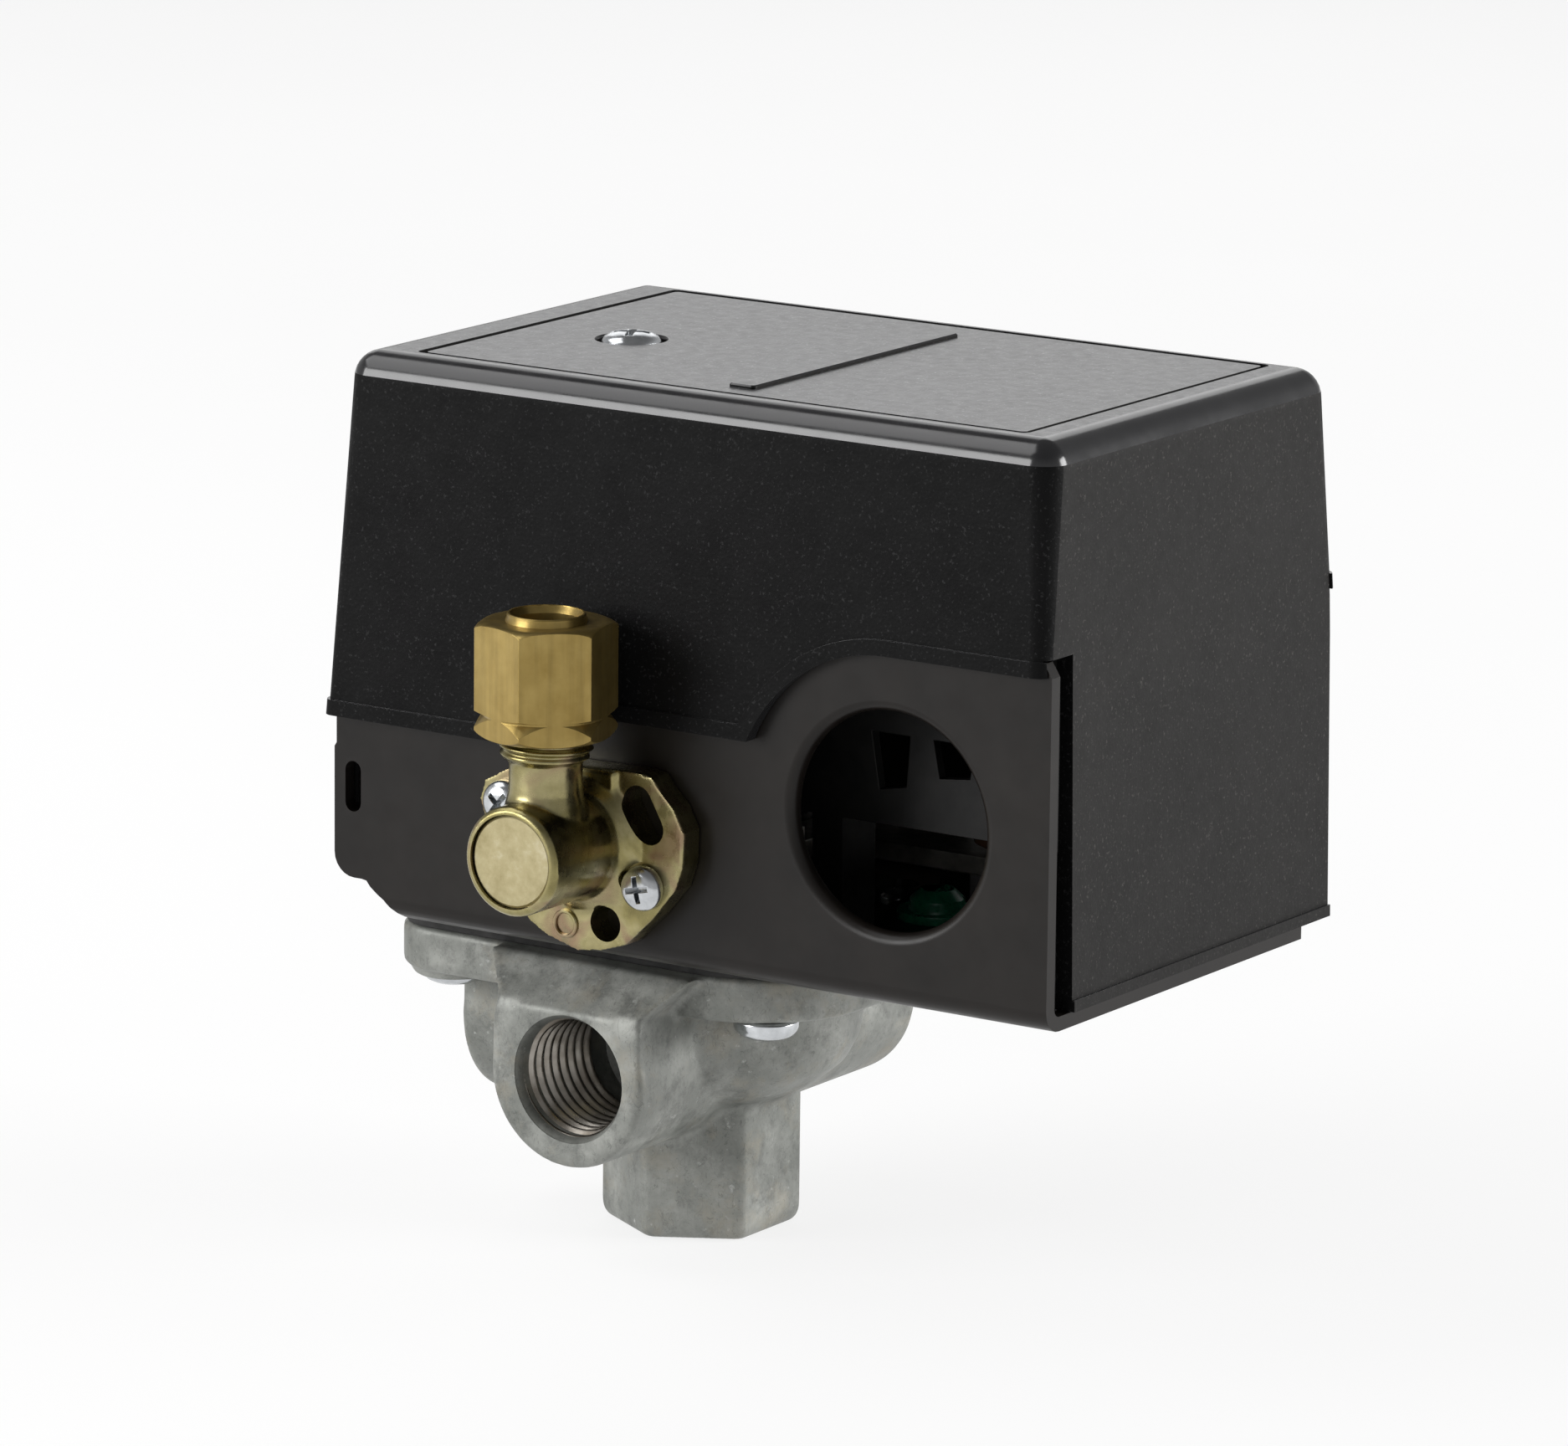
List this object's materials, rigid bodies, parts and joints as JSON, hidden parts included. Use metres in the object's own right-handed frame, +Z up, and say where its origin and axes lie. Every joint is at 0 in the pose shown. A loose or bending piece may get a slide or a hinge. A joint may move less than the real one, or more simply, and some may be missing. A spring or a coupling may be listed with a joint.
{
  "type": "pressure switch",
  "caption": "Compressor pressure switch: black cover on a folded steel base, pipe-port casting below, unloader valve with compression nut on the front.",
  "frame": {"origin": "centre of the bottom port's mouth, at the underside of the hexagonal boss", "axes": "+Z up along the hexagonal boss; +X along the long side towards the wiring end; -Y towards the side with the unloader valve"},
  "size_m": [0.0886, 0.0731, 0.0948],
  "materials": {
    "base_paint": "semi-gloss dark brown-black paint",
    "die_cast_zinc": "as-cast, mottled matt grey-green",
    "zinc_plate": "bright zinc plating",
    "rubber": "matt",
    "aluminium": "turned",
    "bright_steel": "ground",
    "bracket_steel": "dull zinc-plated strip",
    "spring_steel": "drawn wire",
    "moulding": "black phenolic moulding",
    "carrier_plastic": "brown phenolic moulding",
    "brass": "turned, satin",
    "silver": "satin silver contact",
    "green_paint": "green earth-screw finish",
    "chromate": "yellow chromate over zinc, slightly iridescent",
    "cover_plastic": "fine-grained charcoal moulding with smooth rounded edges"
  },
  "bodies": {
    "housing": {"base_frame": "base_paint", "port_manifold": "die_cast_zinc", "manifold_screws": "zinc_plate", "diaphragm": "rubber", "lever_bracket": "bracket_steel", "lever_rivets": "zinc_plate", "lever_pin": "bright_steel", "spring_bracket": "bracket_steel", "bracket_screws": "zinc_plate", "cover_post": "zinc_plate", "contact_block": "moulding", "block_screws": "zinc_plate", "terminal_strips": "brass", "fixed_tips": "silver", "terminal_screws": "zinc_plate", "terminal_clamps": "brass", "ground_screw": "green_paint", "trip_bracket": "bracket_steel", "trip_rivets": "zinc_plate", "trip_pin": "bright_steel", "unloader_body": "chromate", "unloader_screws": "zinc_plate", "valve_cap": "chromate", "ferrule": "brass"},
    "piston": {"diaphragm_plate": "aluminium", "push_pin": "bright_steel"},
    "lever": {"main_lever": "bracket_steel", "lower_spring_seat": "zinc_plate"},
    "spring_seat": {"upper_spring_seat": "zinc_plate", "range_spring": "spring_steel"},
    "range_screw": {"range_screw": "zinc_plate"},
    "carrier": {"contact_carrier": "carrier_plastic", "contact_bridges": "brass", "moving_tips": "silver", "contact_springs": "spring_steel", "carrier_cap": "moulding"},
    "trip_arm": {"trip_arm": "chromate"},
    "plunger": {"valve_plunger": "bright_steel", "valve_seal": "rubber", "valve_spring": "spring_steel"},
    "nut": {"compression_nut": "brass"},
    "cover": {"cover": "cover_plastic"},
    "cover_screw": {"cover_screw": "zinc_plate"}
  },
  "joints": [
    {"name": "lever_rock", "type": "hinge", "parent": "housing", "child": "lever", "pos_m": [-0.021, 0, 0.0425], "axis": [0, -1, 0], "range_deg": [0, 2.6]},
    {"name": "piston_lift", "type": "slide", "parent": "housing", "child": "piston", "axis": [0, 0, 1], "range_m": [0, 0.0009]},
    {"name": "carrier_lift", "type": "slide", "parent": "housing", "child": "carrier", "axis": [0, 0, 1], "range_m": [0, 0.0027]},
    {"name": "trip_arm_turn", "type": "hinge", "parent": "housing", "child": "trip_arm", "pos_m": [0.0056, -0.0198, 0.041], "axis": [1, 0, 0], "range_deg": [0, 8.2]},
    {"name": "plunger_push", "type": "slide", "parent": "housing", "child": "plunger", "axis": [0, -1, 0], "range_m": [0, 0.00095]},
    {"name": "range_seat_travel", "type": "slide", "parent": "housing", "child": "spring_seat", "axis": [0, 0, 1], "range_m": [-0.003, 0.003], "deforming": ["range_spring"]},
    {"name": "range_screw_turn", "type": "hinge", "parent": "spring_seat", "child": "range_screw", "pos_m": [0.007, 0, 0.075], "axis": [0, 0, 1], "range_deg": [-1081, 1081]},
    {"name": "compression_nut_turn", "type": "hinge", "parent": "housing", "child": "nut", "pos_m": [0.0056, -0.0366, 0.065], "axis": [0, 0, 1], "continuous": true},
    {"name": "cover_lift", "type": "slide", "parent": "housing", "child": "cover", "axis": [0, 0, 1], "range_m": [0, 0.07]},
    {"name": "cover_screw_turn", "type": "hinge", "parent": "cover", "child": "cover_screw", "pos_m": [-0.0072, -0.0036, 0.093], "axis": [0, 0, 1], "continuous": true}
  ],
  "couplings": [
    {"joint": "piston_lift", "follows": "lever_rock", "m_per_rad": 0.0176},
    {"joint": "carrier_lift", "follows": "lever_rock", "m_per_rad": 0.058},
    {"joint": "trip_arm_turn", "follows": "lever_rock", "ratio": 3.0227},
    {"joint": "plunger_push", "follows": "lever_rock", "m_per_rad": 0.01995},
    {"joint": "range_screw_turn", "follows": "range_seat_travel", "rad_per_m": 6283.2}
  ]
}
